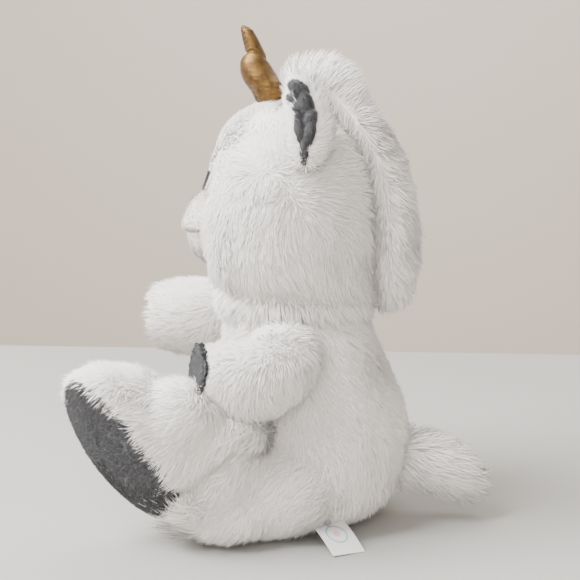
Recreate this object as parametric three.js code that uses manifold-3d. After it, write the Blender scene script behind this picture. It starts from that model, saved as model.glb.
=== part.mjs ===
// A sitting plush unicorn, about 300 mm from its seat to the tip of its horn.
// Millimetres, +Z up. It faces -Y and its own left side is +X. The origin is on
// the table, under the middle of the flat seat panel.
//
// Every stuffed piece is a loft: rings of points around a spine. The fabric cover
// is the loft less a smaller one, and the stuffing is a smaller loft inside it.

import * as THREE from 'three';
import { mergeVertices } from 'three/addons/utils/BufferGeometryUtils.js';
import Module from 'manifold-3d';

const wasm = await Module();
wasm.setup();

// ---------------------------------------------------------------- driving sizes

const SKIN = 3.5;            // fabric with its short backing pile
const GAP = 0.5;             // between a cover and the stuffing inside it
const SEAM = 0.3;            // between two panels sewn edge to edge
const JOINT_CLEARANCE = 1.2; // between a limb and the body, over the limb's whole swing
const THREAD = 0.9;          // radius of embroidery and gathering thread
const BODY_SIDES = 20;
const LIMB_SIDES = 14;
const SMALL_SIDES = 12;
const DOME_SIDES = 28;

// Upright profiles, bottom to top: height, centre Y, half width in X, half depth in Y.
const TORSO = [
  [0, 2, 24, 22], [3.5, 2.5, 36, 33], [9, 3, 46, 42.5], [18, 3.5, 54.5, 50], [32, 4, 60.5, 55],
  [50, 4, 62, 57], [72, 2, 59.5, 54.5], [95, -1.5, 54.5, 48.5], [115, -5, 49, 43.5],
  [127, -6.5, 44, 40], [134, -7, 39, 37],
];
const HEAD = [
  [144, -5, 42, 40], [150, -7, 51, 45.5], [160, -10, 57, 48], [175, -11, 60, 49],
  [195, -11.5, 60, 49.5], [215, -11.5, 57, 48.5], [231, -12.5, 50, 43.5], [243, -14, 39, 34.5],
  [251, -17, 26, 23], [255, -20, 10, 9],
];
const TORSO_RINGS = 12;
const HEAD_RINGS = 11;
const BASE_PANEL_TOP = 12;   // the seat panel's seam
const POUCH_TOP = 26;        // bean pouch under the torso stuffing
const SIDE_SEAM_Y = 14;      // between the front and back body panels
const GUSSET_HALF_WIDTH = 17;
const NECK = { centre: [0, -5, 139], radius: 30, clearance: 1.5, threadRadius: 36 };

// Spines of the smaller pieces: x, y, z, half width across, half height.
const MUZZLE = [
  [0, -40, 180, 24, 21], [0, -56, 179, 27, 24], [0, -66, 178, 24, 21.5],
  [0, -73, 177.5, 16, 15], [0, -76, 177, 7, 7],
];
// The horn's outline: distance up its axis, radius, and how far it bows forward there.
const HORN = { base: [0, -20.5, 261], lean: 21, pinch: 28, skin: 1, thread: 0.5 };
const HORN_OUTLINE = [
  [0, 9, 0.8], [5, 11.5, 1.4], [11, 12, 2], [18, 11, 1.2], [24, 8.4, -0.6], [28, 6.8, -1.8],
  [34, 6.6, -1.4], [40, 5, 0], [44.5, 2.2, 0.6],
];
const MANE = [
  [0, 3, 265.5, 13, 5.5], [0, 14, 265, 19, 8.5], [0, 26, 254, 21, 8], [0, 36.5, 238.7, 22, 7.5],
  [0, 45.5, 221, 23, 8.5], [0, 50, 203, 24, 9.5], [0, 52, 182, 24, 11], [0, 52.5, 160, 22, 11.5],
  [0, 51, 144, 17, 9], [0, 49.5, 136, 8, 4],
];
const FORELOCK = [
  [0, -3.5, 256.5, 10, 2.5], [0, -4.5, 263, 12, 3.5], [0, -5, 269, 9, 3.2], [0, -5.5, 274, 4, 1.6],
];
const TAIL = [
  [0, 65.5, 34.5, 6, 6], [0, 71, 33, 10.5, 10.5], [0, 80, 30, 15, 15], [0, 92, 25, 16.5, 16.5],
  [0, 103, 20.5, 14.5, 14.5], [0, 111, 18, 9, 9], [0, 115, 17, 4, 4],
];
const LEFT_EAR = [
  [58.5, 4, 219.5, 5, 3.5], [58, 6, 228, 9.5, 4.2], [55, 7, 240, 12.5, 4.5], [51, 4, 253, 12, 4.5],
  [47, -1, 264, 7.5, 3.8], [45.5, -4, 269.5, 3, 2],
];
const EAR_LINING = { inset: 2.2, thickness: 1.8, lift: 0.6, narrowest: 1.5 };

// The left arm is bent and lies on the thigh; the right arm points straight forward.
const LEFT_ARM = [
  [44, -9, 119, 15, 15], [53, -8, 112, 18, 18], [62.5, -12, 106, 19.5, 19.5],
  [69, -21, 102, 20.5, 20], [71.5, -33, 101.5, 20, 19], [71.5, -46, 104, 19, 17.5],
  [71, -57, 106.5, 17.5, 16], [70.5, -68, 109, 16, 15],
];
const LEFT_HAND = { at: [71, -58, 107], normal: [0.35, -0.92, 0.17] };
const RIGHT_ARM = [
  [-42, -9, 118, 15, 15], [-49, -24, 118, 20, 20], [-51, -44, 118, 21.5, 21.5],
  [-50, -64, 118, 21.5, 21.5], [-48, -85, 118, 21, 21], [-47, -102, 118, 17.5, 17.5],
];
const RIGHT_HAND = { at: [-47, -102, 118], normal: [0.06, -0.998, 0] };
// The left foot stands on its heel; the right leg has rolled outwards and lies flatter.
const LEFT_LEG = [
  [46, -26, 42, 19, 22], [49.5, -36, 42.5, 25, 28], [56, -53, 43.5, 28, 34.5],
  [64, -72, 47, 29.5, 40], [71, -87, 52.5, 30.5, 45], [78.5, -102, 60, 30.5, 48],
  [87, -118, 66.5, 28, 44], [94, -132, 70, 22, 35],
];
// Each sole's middle, the way it faces, how far it bulges, and its dome's half width and length.
const LEFT_SOLE = {
  at: [79, -101.5, 61.5], normal: [0.706, -0.542, -0.456], bulge: 8, reach: [35, 54],
};
const RIGHT_LEG = [
  [-46, -26, 40, 19, 22], [-51, -35, 37, 25, 28], [-60, -52, 34, 30, 31], [-69.5, -70, 32, 35, 30.2],
  [-77, -84, 31.5, 40, 29.8], [-84.5, -98, 32, 43, 29.5], [-93, -114, 33, 42, 28.5],
  [-100, -128, 34, 33, 22],
];
const RIGHT_SOLE = {
  at: [-86, -101, 32], normal: [0.175, -0.977, 0.04], bulge: 8, reach: [46, 33],
};
const SOLE_THICKNESS = 3;
const HAND_PAD_THICKNESS = 2.5;
const PAD_INSET = 1;         // a pad's edge is this far inside its cover's

// Closed eyes: an arc of thread on the face, lashes down.
const EYE = { x: 17.5, z: 211.5, halfWidth: 9, depth: 4, slant: 5, lift: 1 };
const MOUTH = { z: 177, reach: 55, lift: 1.9 };

// Where the stuffing hole is sewn shut: degrees around the back, and height over the seat seam.
const CLOSING_STITCH = { from: 100, to: 140, above: 5, lift: 1.2 };

// The sewn-in label leaves the seat seam and lies on the table.
const LABEL = { root: [47.8, 15.7, 11.5], end: [71, 30, 0.5], width: 21, thickness: 0.6 };

// How far each limb swings, so that the body leaves room for it.
const SWING = {
  leftArm: { pivot: [46, -8, 118], axis: [-1, 0, 0], from: 0, to: 35 },
  rightArm: { pivot: [-44, -12, 118], axis: [0, 0, -1], from: 0, to: 35 },
  leftLeg: { pivot: [46, -26, 42], axis: [0, 0, 1], from: 0, to: 18 },
  rightLeg: { pivot: [-46, -26, 40], axis: [0, 0, -1], from: 0, to: 12 },
};

// ---------------------------------------------------------------- solids

const ACROSS = new THREE.Vector3(1, 0, 0);
const UP = new THREE.Vector3(0, 0, 1);
const vec = (list) => new THREE.Vector3(list[0], list[1], list[2]);

function signedVolume(positions, index) {
  let sum = 0;
  const a = new THREE.Vector3();
  const b = new THREE.Vector3();
  const c = new THREE.Vector3();
  for (let i = 0; i < index.length; i += 3) {
    a.fromArray(positions, 3 * index[i]);
    b.fromArray(positions, 3 * index[i + 1]);
    c.fromArray(positions, 3 * index[i + 2]);
    sum += a.dot(b.cross(c));
  }
  return sum / 6;
}

// Joins rings of equal size into one closed geometry, with a flat fan over each end.
function skinRings(rings) {
  const sides = rings[0].length;
  const positions = [];
  const index = [];
  for (const p of rings.flat()) positions.push(p.x, p.y, p.z);
  for (let r = 0; r + 1 < rings.length; r++) {
    for (let s = 0; s < sides; s++) {
      const next = (s + 1) % sides;
      const low = r * sides;
      const high = low + sides;
      index.push(low + s, low + next, high + next, low + s, high + next, high + s);
    }
  }
  for (const [r, flip] of [[0, true], [rings.length - 1, false]]) {
    const hub = positions.length / 3;
    const middle = rings[r].reduce((sum, p) => sum.add(p), new THREE.Vector3()).divideScalar(sides);
    positions.push(middle.x, middle.y, middle.z);
    for (let s = 0; s < sides; s++) {
      const first = r * sides + s;
      const second = r * sides + (s + 1) % sides;
      index.push(hub, flip ? second : first, flip ? first : second);
    }
  }
  if (signedVolume(positions, index) < 0) {
    for (let i = 0; i < index.length; i += 3) [index[i], index[i + 1]] = [index[i + 1], index[i]];
  }
  const geometry = new THREE.BufferGeometry();
  geometry.setAttribute('position', new THREE.Float32BufferAttribute(positions, 3));
  geometry.setIndex(index);
  return geometry;
}

// A loft through stations [x, y, z, half width, half height]. grow moves its surface out
// along its normals, or in when negative. An end that is given a shift is moved by that
// much along the spine instead, which is how a cover's hollow runs out past its open end.
// Rings are square to the spine, or level where upright is set.
function loft(stations, options = {}) {
  const { sides = LIMB_SIDES, grow = 0, across = ACROSS, upright = false } = options;
  const last = stations.length - 1;
  const shifts = stations.map(() => undefined);
  shifts[0] = options.startShift;
  shifts[last] = options.endShift;
  const centres = stations.map((s) => vec(s));
  const rings = stations.map((station, i) => {
    const before = centres[Math.max(i - 1, 0)];
    const after = centres[Math.min(i + 1, last)];
    const along = upright ? UP.clone() : after.clone().sub(before).normalize();
    const wide = across.clone().addScaledVector(along, -across.dot(along)).normalize();
    const tall = new THREE.Vector3().crossVectors(along, wide);
    const isOpen = shifts[i] !== undefined;
    const shift = isOpen ? (i === 0 ? -shifts[i] : shifts[i]) : 0;
    const extra = isOpen ? grow : 0;
    const centre = centres[i].clone().addScaledVector(along, shift);
    return Array.from({ length: sides }, (_, k) => {
      const angle = (2 * Math.PI * k) / sides;
      return centre.clone()
        .addScaledVector(wide, (station[3] + extra) * Math.cos(angle))
        .addScaledVector(tall, (station[4] + extra) * Math.sin(angle));
    });
  });
  const geometry = skinRings(rings);
  geometry.computeVertexNormals();
  const { position, normal } = geometry.attributes;
  const endHub = position.count - 1;
  for (let v = 0; v < position.count; v++) {
    const onRing = v < rings.length * sides;
    const hubRing = v === endHub ? last : 0;
    if (shifts[onRing ? Math.floor(v / sides) : hubRing] !== undefined) continue;
    const point = new THREE.Vector3().fromBufferAttribute(position, v);
    point.addScaledVector(new THREE.Vector3().fromBufferAttribute(normal, v), grow);
    position.setXYZ(v, point.x, point.y, point.z);
  }
  return geometry;
}

// A smooth upright profile, resampled into stations for loft.
function uprightStations(profile, count) {
  const middle = new THREE.CatmullRomCurve3(profile.map((p) => new THREE.Vector3(p[1], 0, p[0])));
  const size = new THREE.CatmullRomCurve3(profile.map((p) => new THREE.Vector3(p[2], p[3], 0)));
  return Array.from({ length: count }, (_, i) => {
    const t = i / (count - 1);
    const centre = middle.getPoint(t);
    const half = size.getPoint(t);
    return [0, centre.x, centre.z, half.x, half.y];
  });
}

const torsoStations = uprightStations(TORSO, TORSO_RINGS);
const headStations = uprightStations(HEAD, HEAD_RINGS);
const UPRIGHT = { sides: BODY_SIDES, upright: true };

// The level outline of an upright body at a height.
function outlineAt(stations, z) {
  const above = Math.max(stations.findIndex((s) => s[2] >= z), 1);
  const [low, high] = [stations[above - 1], stations[above]];
  const t = (z - low[2]) / (high[2] - low[2]);
  const between = (k) => low[k] + t * (high[k] - low[k]);
  return { centreY: between(1), halfWidth: between(3), halfDepth: between(4) };
}

// A point on the face, given its place across and its height, in front of the head by lift.
function facePoint(x, z, lift) {
  const { centreY, halfWidth, halfDepth } = outlineAt(headStations, z);
  const y = centreY - (halfDepth + lift) * Math.sqrt(1 - (x / (halfWidth + lift)) ** 2);
  return new THREE.Vector3(x, y, z);
}

function toSolid(geometry) {
  const plain = geometry.clone();
  plain.deleteAttribute('normal');
  plain.deleteAttribute('uv');
  const merged = mergeVertices(plain, 1e-4);
  return new wasm.Manifold(new wasm.Mesh({
    numProp: 3,
    vertProperties: new Float32Array(merged.attributes.position.array),
    triVerts: new Uint32Array(merged.index.array),
  }));
}

function toGeometry(solid) {
  const mesh = solid.getMesh();
  const geometry = new THREE.BufferGeometry();
  const positions = new Float32Array(mesh.vertProperties);
  geometry.setAttribute('position', new THREE.BufferAttribute(positions, 3));
  geometry.setIndex(new THREE.BufferAttribute(new Uint32Array(mesh.triVerts), 1));
  return geometry;
}

// The largest connected piece: loose slivers that a cut leaves are dropped.
function largest(solid) {
  return solid.decompose().reduce((best, part) => (part.volume() > best.volume() ? part : best));
}

const loftSolid = (stations, options) => toSolid(loft(stations, options));

// A box with its corners given, for cutting with flat faces.
function slab(low, high) {
  const size = high.map((v, i) => v - low[i]);
  const box = new THREE.BoxGeometry(...size);
  box.translate(...low.map((v, i) => v + size[i] / 2));
  return toSolid(box);
}

const FAR = 400;

// Everything on the side of a plane that the normal points to, starting at distance.
function halfSpace(at, normal, distance = 0) {
  const box = new THREE.BoxGeometry(FAR, FAR, FAR);
  box.translate(0, 0, FAR / 2 + distance);
  const turn = new THREE.Quaternion().setFromUnitVectors(UP, vec(normal).normalize());
  box.applyQuaternion(turn);
  box.translate(...at);
  return toSolid(box);
}

// A flattened ball with its middle on a limb's end, which rounds the sole outwards.
function dome(end, across, [halfWidth, halfLength], height) {
  const normal = vec(end.normal).normalize();
  const wide = across.clone().addScaledVector(normal, -across.dot(normal)).normalize();
  const long = new THREE.Vector3().crossVectors(normal, wide);
  const shape = new THREE.SphereGeometry(1, DOME_SIDES, DOME_SIDES / 2);
  shape.scale(halfWidth, halfLength, height);
  shape.applyMatrix4(new THREE.Matrix4().makeBasis(wide, long, normal));
  shape.translate(...vec(end.at).addScaledVector(normal, -SOLE_THICKNESS).toArray());
  return toSolid(shape);
}

function ball(centre, radius) {
  const sphere = new THREE.SphereGeometry(radius, BODY_SIDES, 10);
  sphere.rotateX(Math.PI / 2);
  sphere.translate(...centre);
  return toSolid(sphere);
}

function threadAlong(points, closed = false, radius = THREAD) {
  const path = new THREE.CatmullRomCurve3(points, closed);
  const section = new THREE.Shape();
  section.absarc(0, 0, radius, 0, 2 * Math.PI, false);
  return new THREE.ExtrudeGeometry(section, {
    extrudePath: path,
    steps: closed ? 36 : 10,
    curveSegments: 3,
    bevelEnabled: false,
  });
}

// Angles in radians, evenly spaced between two given in degrees.
function arc(from, to, count = 9) {
  return Array.from({ length: count }, (_, i) => (
    THREE.MathUtils.degToRad(from + ((to - from) * i) / (count - 1))));
}

// The space that a limb sweeps while it swings about its shoulder or hip.
function sweptSpace(stations, options, swing) {
  const steps = 2;
  let space = null;
  for (let i = 0; i <= steps; i++) {
    const angle = THREE.MathUtils.degToRad(swing.from + ((swing.to - swing.from) * i) / steps);
    const geometry = loft(stations, { ...options, grow: JOINT_CLEARANCE });
    geometry.translate(...swing.pivot.map((v) => -v));
    geometry.applyQuaternion(new THREE.Quaternion().setFromAxisAngle(vec(swing.axis), angle));
    geometry.translate(...swing.pivot);
    const solid = toSolid(geometry);
    space = space ? space.add(solid) : solid;
  }
  return space;
}

// ---------------------------------------------------------------- materials

const WHITE = 0xf1ece6;
const GREY = 0x777a7f;
const GOLD = 0xb98a4e;

const plush = () => new THREE.MeshStandardMaterial({ color: WHITE, roughness: 0.95, metalness: 0 });
const shortPile = () => new THREE.MeshStandardMaterial({ color: GREY, roughness: 0.9, metalness: 0 });
const goldCloth = () => new THREE.MeshStandardMaterial({ color: GOLD, roughness: 0.35, metalness: 0.6 });
const filling = () => new THREE.MeshStandardMaterial({ color: 0xe8e6e0, roughness: 1, metalness: 0 });
const darkThread = () => new THREE.MeshStandardMaterial({ color: 0x1c1b1d, roughness: 0.6, metalness: 0 });
const whiteThread = () => new THREE.MeshStandardMaterial({ color: 0xe5e0d8, roughness: 0.7, metalness: 0 });
const satin = () => new THREE.MeshStandardMaterial({ color: 0xf3f1ec, roughness: 0.5, metalness: 0 });

// ---------------------------------------------------------------- assembly

const unicorn = new THREE.Group();

function add(name, geometry, material) {
  const mesh = new THREE.Mesh(geometry, material);
  mesh.name = name;
  unicorn.add(mesh);
}

const addSolid = (name, solid, material) => add(name, toGeometry(largest(solid)), material);

// ---- limbs: an open cover, its stuffing, and a pad on the end

function addLimb(limb) {
  const { side, kind, stations, across, end, padName, padThickness } = limb;
  const beyondCover = halfSpace(end.at, end.normal, -padThickness - SEAM);
  const outer = loftSolid(stations, { across });
  const hollow = loftSolid(stations, { across, grow: -SKIN, startShift: 2, endShift: 2 });
  const inside = loftSolid(stations, { across, grow: -SKIN - GAP, startShift: -1, endShift: 2 });
  const padSpace = loftSolid(stations, { across, grow: -PAD_INSET })
    .intersect(halfSpace(end.at, end.normal, -padThickness));
  const { pad, stuffing } = end.bulge
    ? roundedEnd(limb, padSpace, inside, beyondCover)
    : { pad: padSpace.subtract(halfSpace(end.at, end.normal)), stuffing: inside.subtract(beyondCover) };
  addSolid(`${side}_${kind}_cover`, outer.subtract(hollow).subtract(beyondCover), plush());
  addSolid(`${side}_${kind}_stuffing`, stuffing, filling());
  addSolid(padName, pad, shortPile());
}

// A sole that the stuffing pushes outwards.
function roundedEnd({ end, across }, padSpace, inside, beyondCover) {
  const shrink = (amount) => end.reach.map((r) => r - amount);
  const outerDome = dome(end, across, end.reach, end.bulge + SOLE_THICKNESS);
  const innerDome = dome(end, across, shrink(SOLE_THICKNESS), end.bulge);
  const filled = dome(end, across, shrink(SOLE_THICKNESS + GAP), end.bulge - GAP);
  return {
    pad: padSpace.intersect(outerDome).subtract(innerDome),
    stuffing: inside.subtract(beyondCover).add(inside.intersect(filled)),
  };
}

const legAcross = (sign) => new THREE.Vector3(0.883, sign * 0.47, 0);

const limbs = [
  { side: 'left', kind: 'arm', stations: LEFT_ARM, across: ACROSS, end: LEFT_HAND,
    padName: 'left_hand_pad', padThickness: HAND_PAD_THICKNESS, swing: SWING.leftArm },
  { side: 'right', kind: 'arm', stations: RIGHT_ARM, across: ACROSS, end: RIGHT_HAND,
    padName: 'right_hand_pad', padThickness: HAND_PAD_THICKNESS, swing: SWING.rightArm },
  { side: 'left', kind: 'leg', stations: LEFT_LEG, across: legAcross(1), end: LEFT_SOLE,
    padName: 'left_foot_sole', padThickness: SOLE_THICKNESS, swing: SWING.leftLeg },
  { side: 'right', kind: 'leg', stations: RIGHT_LEG, across: legAcross(-1), end: RIGHT_SOLE,
    padName: 'right_foot_sole', padThickness: SOLE_THICKNESS, swing: SWING.rightLeg },
];

// ---- torso: seat, front and back panels, bean pouch and stuffing

function addTorso() {
  const swept = limbs
    .map((limb) => sweptSpace(limb.stations, { across: limb.across }, limb.swing))
    .reduce((all, one) => all.add(one));
  const outer = loftSolid(torsoStations, UPRIGHT);
  const hollow = loftSolid(torsoStations, { ...UPRIGHT, grow: -SKIN, endShift: 2 });
  const inside = loftSolid(torsoStations, { ...UPRIGHT, grow: -SKIN - GAP, endShift: -GAP });
  const cover = outer.subtract(hollow).subtract(swept);
  const room = inside.subtract(swept);
  const half = SEAM / 2;
  const aboveSeat = slab([-FAR, -FAR, BASE_PANEL_TOP + half], [FAR, FAR, FAR]);
  const belowSeam = slab([-FAR, -FAR, -1], [FAR, FAR, BASE_PANEL_TOP - half]);
  const front = slab([-FAR, -FAR, -1], [FAR, SIDE_SEAM_Y - half, FAR]);
  const back = slab([-FAR, SIDE_SEAM_Y + half, -1], [FAR, FAR, FAR]);
  addSolid('torso_front_panel', cover.intersect(aboveSeat).intersect(front), plush());
  addSolid('torso_back_panel', cover.intersect(aboveSeat).intersect(back), plush());
  addSolid('base_panel', cover.intersect(belowSeam), plush());
  const pouchSpace = slab([-FAR, -FAR, -1], [FAR, FAR, POUCH_TOP]);
  const stuffingSpace = slab([-FAR, -FAR, POUCH_TOP + GAP], [FAR, FAR, FAR]);
  addSolid('bean_pouch', room.intersect(pouchSpace), whiteThread());
  const neckRoom = ball(NECK.centre, NECK.radius + NECK.clearance);
  addSolid('torso_stuffing', room.intersect(stuffingSpace).subtract(neckRoom), filling());
}

function addNeck() {
  addSolid('neck_stuffing', ball(NECK.centre, NECK.radius), filling());
  const top = TORSO[TORSO.length - 1][0];
  const ring = new THREE.TorusGeometry(NECK.threadRadius, THREAD, 6, 24);
  ring.translate(NECK.centre[0], NECK.centre[1], top + SEAM + THREAD);
  add('neck_gathering_thread', mergedRing(ring), whiteThread());
}

// A torus with the seam of its grid closed.
function mergedRing(ring) {
  ring.deleteAttribute('normal');
  ring.deleteAttribute('uv');
  return mergeVertices(ring, 1e-4);
}

// Ladder stitch that closes the stuffing hole, along the lower edge of the back panel.
function addClosingStitch() {
  const level = BASE_PANEL_TOP + CLOSING_STITCH.above;
  const { centreY, halfWidth, halfDepth } = outlineAt(torsoStations, level);
  const out = THREAD + CLOSING_STITCH.lift;
  const points = arc(CLOSING_STITCH.from, CLOSING_STITCH.to).map((angle) => new THREE.Vector3(
    (halfWidth + out) * Math.cos(angle), centreY + (halfDepth + out) * Math.sin(angle), level));
  add('closing_stitch', threadAlong(points), whiteThread());
}

// ---- head: two side panels, a gusset over the crown, muzzle, eyes and mouth

function addHead() {
  const outer = loftSolid(headStations, UPRIGHT);
  const hollow = loftSolid(headStations, { ...UPRIGHT, grow: -SKIN, startShift: 2 });
  const inside = loftSolid(headStations, { ...UPRIGHT, grow: -SKIN - GAP, startShift: -GAP });
  const cover = outer.subtract(hollow);
  const half = GUSSET_HALF_WIDTH;
  addSolid('head_left_panel', cover.intersect(slab([half + SEAM, -FAR, 0], [FAR, FAR, FAR])), plush());
  addSolid('head_right_panel', cover.intersect(slab([-FAR, -FAR, 0], [-half - SEAM, FAR, FAR])), plush());
  addSolid('head_gusset', cover.intersect(slab([-half, -FAR, 0], [half, FAR, FAR])), plush());
  addSolid('head_stuffing', inside.subtract(ball(NECK.centre, NECK.radius + NECK.clearance)), filling());
}

function addMuzzle() {
  const face = loftSolid(headStations, { ...UPRIGHT, grow: SEAM });
  const outer = loftSolid(MUZZLE);
  const hollow = loftSolid(MUZZLE, { grow: -SKIN, startShift: 2 });
  const inside = loftSolid(MUZZLE, { grow: -SKIN - GAP });
  addSolid('muzzle_cover', outer.subtract(hollow).subtract(face), plush());
  addSolid('muzzle_stuffing', inside.subtract(face), filling());
}

// The mouth: a crease drawn in with thread across the front of the muzzle.
function addMouth() {
  const widest = MUZZLE[1];
  const tip = MUZZLE[MUZZLE.length - 1];
  const out = THREAD + MOUTH.lift;
  const halfWidth = widest[3] + out;
  const halfDepth = tip[1] - widest[1] - out;
  const points = arc(-MOUTH.reach, MOUTH.reach).map((angle) => new THREE.Vector3(
    halfWidth * Math.sin(angle), widest[1] + halfDepth * Math.cos(angle), MOUTH.z));
  add('mouth_stitch', threadAlong(points), whiteThread());
}

function addEye(name, sign) {
  const points = arc(0, 180).map((angle) => facePoint(
    sign * (EYE.x + EYE.halfWidth * Math.cos(angle)),
    EYE.z + EYE.slant * Math.cos(angle) - EYE.depth * Math.sin(angle),
    THREAD + EYE.lift));
  add(name, threadAlong(points), darkThread());
}

// ---- ears, horn, mane and tail

const mirrored = (stations) => stations.map(([x, ...rest]) => [-x, ...rest]);

// The lining lies on the ear's outward face, facing a little forward.
function addEar(side, stations, sign) {
  const across = new THREE.Vector3(sign * -0.34, 0.94, 0);
  const outward = new THREE.Vector3(sign * 0.94, -0.34, 0);
  const lining = stations.slice(1, -1).map(([x, y, z, halfWidth, halfThickness]) => {
    const lift = halfThickness + EAR_LINING.lift;
    const width = Math.max(halfWidth - EAR_LINING.inset, EAR_LINING.narrowest);
    return [x + outward.x * lift, y + outward.y * lift, z, width, EAR_LINING.thickness];
  });
  const shape = { across, sides: SMALL_SIDES };
  const room = loftSolid(stations, { ...shape, grow: SEAM });
  addSolid(`${side}_ear_cover`, loftSolid(stations, shape), plush());
  addSolid(`${side}_ear_lining`, loftSolid(lining, shape).subtract(room), shortPile());
}

function addHorn() {
  const lean = THREE.MathUtils.degToRad(HORN.lean);
  const along = new THREE.Vector3(0, -Math.sin(lean), Math.cos(lean));
  const forward = new THREE.Vector3(0, -Math.cos(lean), -Math.sin(lean));
  const place = ([up, , bow]) => vec(HORN.base).addScaledVector(along, up).addScaledVector(forward, bow);
  const stations = HORN_OUTLINE.map((ring) => [...place(ring).toArray(), ring[1], ring[1]]);
  const outer = loftSolid(stations);
  const hollow = loftSolid(stations, { grow: -HORN.skin, startShift: 2, endShift: -1.5 });
  const inside = loftSolid(stations, { grow: -HORN.skin - GAP, startShift: 0, endShift: -2.5 });
  addSolid('horn_cover', outer.subtract(hollow), goldCloth());
  addSolid('horn_stuffing', inside, filling());
  const pinch = HORN_OUTLINE.find(([up]) => up === HORN.pinch);
  const ring = new THREE.TorusGeometry(pinch[1] + THREAD + GAP + SEAM, HORN.thread, 6, 16);
  ring.rotateX(lean);
  ring.translate(...place(pinch).toArray());
  add('horn_binding_thread', mergedRing(ring), goldCloth());
}

function addTail() {
  const hollow = loftSolid(TAIL, { grow: -SKIN, startShift: 3 });
  addSolid('tail_cover', loftSolid(TAIL).subtract(hollow), plush());
  addSolid('tail_stuffing', loftSolid(TAIL.slice(1), { grow: -SKIN - GAP }), filling());
}

function addLabel() {
  const [root, end] = [vec(LABEL.root), vec(LABEL.end)];
  const along = end.clone().sub(root);
  const edge = new THREE.Vector3(-along.y, along.x, 0).normalize();
  const normal = new THREE.Vector3().crossVectors(along, edge).normalize();
  const box = new THREE.BoxGeometry(along.length(), LABEL.width, LABEL.thickness);
  const frame = new THREE.Matrix4().makeBasis(along.clone().normalize(), edge, normal);
  box.applyMatrix4(frame);
  box.translate(...root.add(end).multiplyScalar(0.5).toArray());
  add('sewn_in_label', box, satin());
}

addTorso();
addClosingStitch();
addNeck();
addHead();
addMuzzle();
addMouth();
addEye('left_eye_stitch', 1);
addEye('right_eye_stitch', -1);
addEar('left', LEFT_EAR, 1);
addEar('right', mirrored(LEFT_EAR), -1);
addHorn();
addSolid('mane_forelock', loftSolid(FORELOCK, { sides: SMALL_SIDES }), plush());
addSolid('mane', loftSolid(MANE), plush());
for (const limb of limbs) addLimb(limb);
addTail();
addLabel();

export default unicorn;
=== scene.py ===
"""The looks of a sitting plush unicorn.

Each stuffed part has a soft skin, remeshed from its CAD cover and filling. Its pile is
modelled on the skin as closed, tapered strands, which lean along a flow, gather in clumps
and swirl a little. Lengths are in millimetres where a name ends in mm, and in metres
everywhere else.
"""

import math

import bpy
import bmesh
import numpy as np
from mathutils import Matrix, Vector
from mathutils.kdtree import KDTree


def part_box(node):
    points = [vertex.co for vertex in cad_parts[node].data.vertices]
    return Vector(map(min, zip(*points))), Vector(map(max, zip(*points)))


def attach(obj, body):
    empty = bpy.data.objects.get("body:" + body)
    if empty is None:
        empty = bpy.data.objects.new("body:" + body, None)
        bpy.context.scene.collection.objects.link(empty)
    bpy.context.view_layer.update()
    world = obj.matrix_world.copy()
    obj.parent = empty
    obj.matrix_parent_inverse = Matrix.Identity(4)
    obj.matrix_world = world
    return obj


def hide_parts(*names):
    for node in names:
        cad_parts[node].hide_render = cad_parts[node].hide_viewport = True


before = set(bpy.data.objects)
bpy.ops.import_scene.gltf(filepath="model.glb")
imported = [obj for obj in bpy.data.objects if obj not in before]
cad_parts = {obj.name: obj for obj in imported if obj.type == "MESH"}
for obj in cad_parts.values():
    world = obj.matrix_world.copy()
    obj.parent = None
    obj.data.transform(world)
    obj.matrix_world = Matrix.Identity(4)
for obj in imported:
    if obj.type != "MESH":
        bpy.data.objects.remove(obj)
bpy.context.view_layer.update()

MM = 0.001
SEED = 11
DENSITY_SHARE = 1.0
TRIANGLES_PER_PIECE = 190000
STRAND_SIDES = 3
STRAND_ROUNDNESS = 0.6                   # 0 shades a strand like the skin under it
CAD_GAP = 1.3 * MM                       # how far a CAD solid is swollen to close its gaps

TOP_DENSITY = 1.1e6                      # strands per square metre in a top coat
UNDER_DENSITY = 2.2e6                    # and in the shorter coat under it
SHORT_PILE_DENSITY = 4e6                 # and in the grey pads and linings
UNDER_LENGTH = 0.8                       # the under coat's length, as a share of the top's
COAT_RADIUS = 0.33 * MM
FINE_RADIUS = 0.26 * MM
LIMB_PILE = 11 * MM
SHORT_PILE = 2.6 * MM

MUZZLE_CENTRE = np.array([0.0, -0.06, 0.182])
MUZZLE_OUTLINE = np.array([0.0245, 0.0225])   # half its width and half its height
HORN_FOOT = np.array([0.0, -0.0215, 0.259])
UP = np.array([0.0, 0.0, 1.0])
DOWN = -UP


# ---------------------------------------------------------------- materials


def new_material(name):
    material = bpy.data.materials.new(name)
    material.use_nodes = True
    return material, material.node_tree, material.node_tree.nodes["Principled BSDF"]


def strand_material(name, colour, sheen):
    """One plain shade of fibre. A pile mixes three of these."""
    material, _, shader = new_material(name)
    shader.inputs["Base Color"].default_value = (*colour, 1)
    shader.inputs["Roughness"].default_value = 0.85
    shader.inputs["Specular IOR Level"].default_value = 0.25
    shader.inputs["Sheen Weight"].default_value = sheen
    shader.inputs["Sheen Roughness"].default_value = 0.5
    return material


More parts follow.
